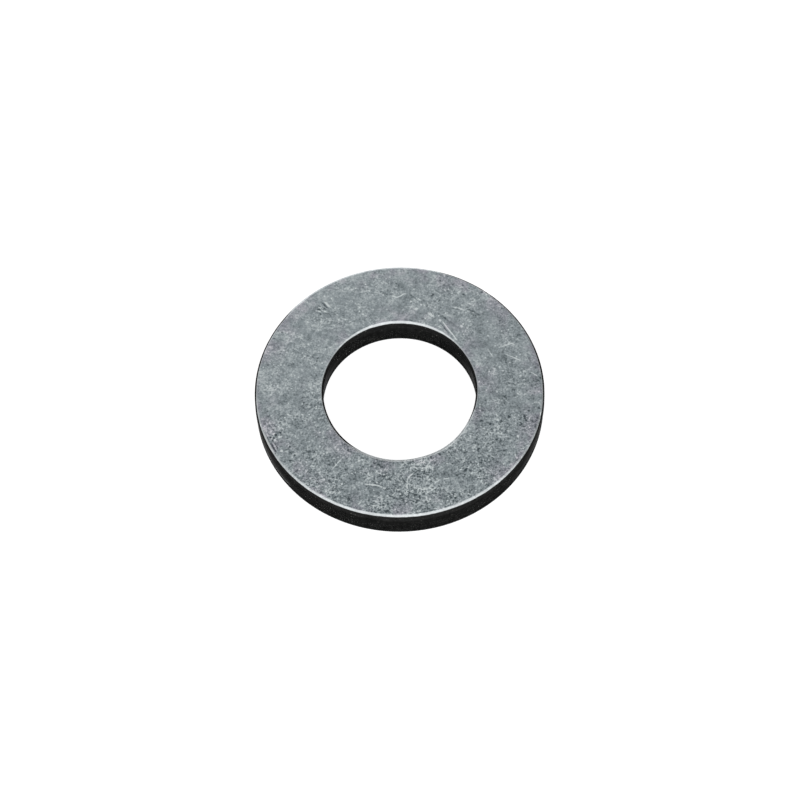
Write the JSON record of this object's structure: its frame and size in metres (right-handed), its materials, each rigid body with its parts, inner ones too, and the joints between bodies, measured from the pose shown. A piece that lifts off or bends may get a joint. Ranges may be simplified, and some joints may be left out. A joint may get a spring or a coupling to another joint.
{
  "type": "flat washer",
  "caption": "Round flat steel washer with a central clearance hole and rolled upper rims, for spreading a bolt head's or nut's load.",
  "frame": {"origin": "on the hole's axis, in the plane of the lower bearing face", "axes": "+Z along the hole's axis, from the burr-side lower face towards the upper face with the rolled rims; X and Y are interchangeable"},
  "size_m": [0.02, 0.02, 0.002],
  "materials": {
    "steel": "mottled blue-grey tumbled faces, bright rolled rims and near-black sheared walls"
  },
  "bodies": {
    "root": {"washer_ring": "steel"}
  },
  "joints": []
}
